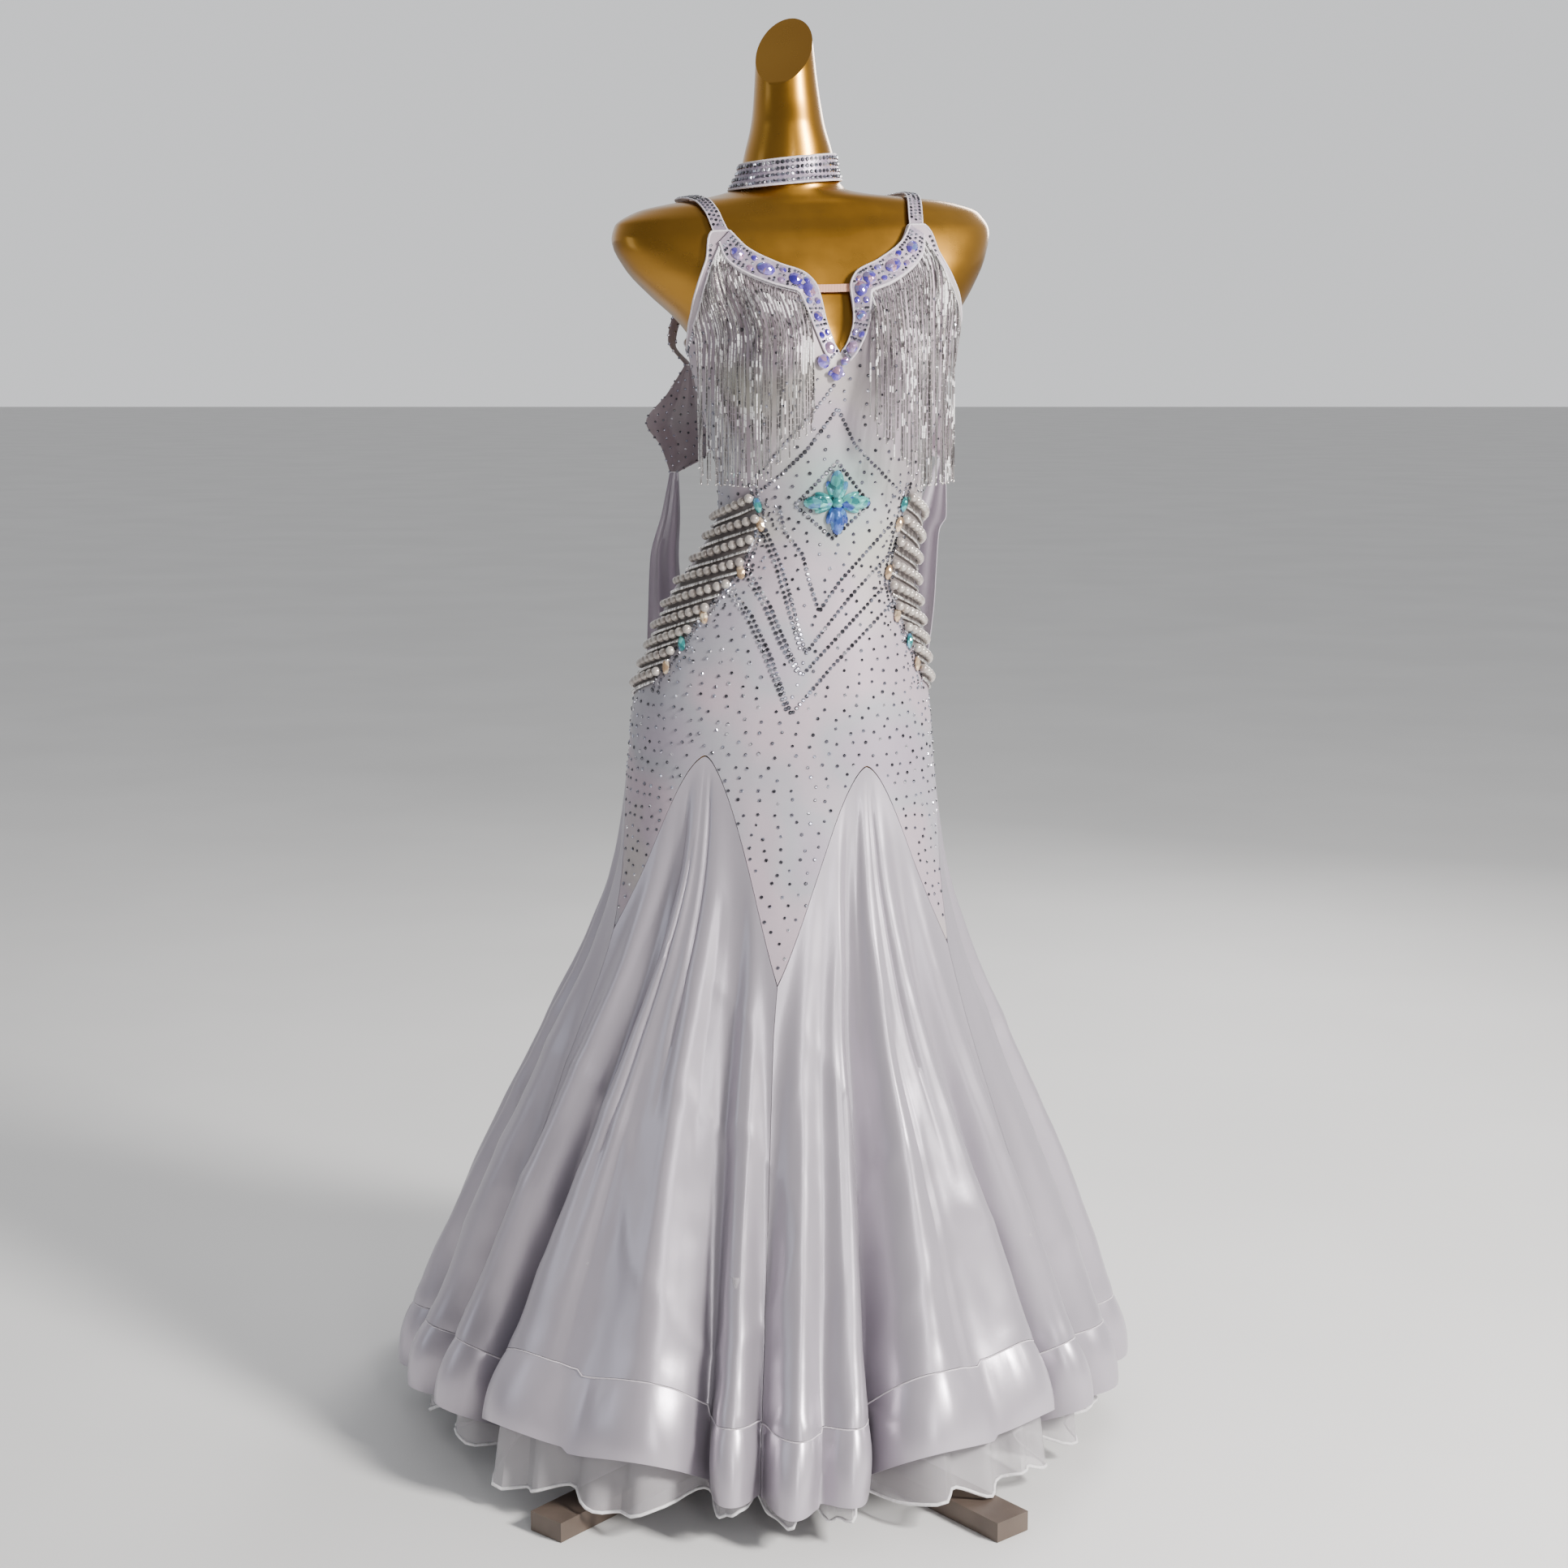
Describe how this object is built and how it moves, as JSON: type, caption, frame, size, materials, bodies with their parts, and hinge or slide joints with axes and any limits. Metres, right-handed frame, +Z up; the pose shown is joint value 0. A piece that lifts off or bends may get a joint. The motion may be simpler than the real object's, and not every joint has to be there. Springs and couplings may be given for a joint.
{
  "type": "ballroom dance dress on a dress form with a stand",
  "caption": "Floor-length ballroom dress with godet skirt, organza flounce, jewelled neck, bead fringe and pearl strings, on a limbless gold dress form with a plain stand.",
  "frame": {"origin": "on the floor, under the pole, at the crossing of the stand's bars", "axes": "+Z up, the dress faces -Y, +X is the viewer's right"},
  "size_m": [0.889, 0.9731, 1.6149],
  "materials": {
    "form_gold": "smooth gold paint with a soft shine",
    "stand_dark": "dark brown satin paint",
    "stand_steel": "brushed",
    "stretch_cloth": "fine silver lilac stretch knit with a soft sheen",
    "satin": "silver lilac satin",
    "band_satin": "silver lilac satin over a stiffening",
    "organza": "translucent crisp organza",
    "jewelled_band": "backed cloth set with rhinestones",
    "bead_fringe": "silvered bugle beads",
    "pearl": "pearlescent",
    "crystal": "faceted, foiled behind",
    "nude_elastic": "matt ribbed elastic"
  },
  "bodies": {
    "root": {"dress_form": "form_gold", "stand_bars": "stand_dark", "stand_collar": "stand_steel", "stand_pole": "stand_steel", "body_front": "stretch_cloth", "body_back": "stretch_cloth", "godet_back_left": "satin", "godet_side_left": "satin", "godet_front_left": "satin", "godet_front_right": "satin", "godet_side_right": "satin", "godet_back_right": "satin", "hem_band_back_left": "band_satin", "hem_band_side_left": "band_satin", "hem_band_front_left": "band_satin", "hem_band_front_right": "band_satin", "hem_band_side_right": "band_satin", "hem_band_back_right": "band_satin", "flounce_back_left": "organza", "flounce_side_left": "organza", "flounce_front_left": "organza", "flounce_front_right": "organza", "flounce_side_right": "organza", "flounce_back_right": "organza", "neck_band_left": "jewelled_band", "strap_left": "jewelled_band", "fringe_left": "bead_fringe", "pearls_left": "pearl", "float_loop_left": "stretch_cloth", "float_cuff_left": "stretch_cloth", "float_streamer_left": "satin", "neck_band_right": "jewelled_band", "strap_right": "jewelled_band", "fringe_right": "bead_fringe", "pearls_right": "pearl", "float_loop_right": "stretch_cloth", "float_cuff_right": "stretch_cloth", "float_streamer_right": "satin", "choker": "jewelled_band", "bridge_elastic": "nude_elastic", "waist_jewel": "crystal"}
  },
  "joints": []
}
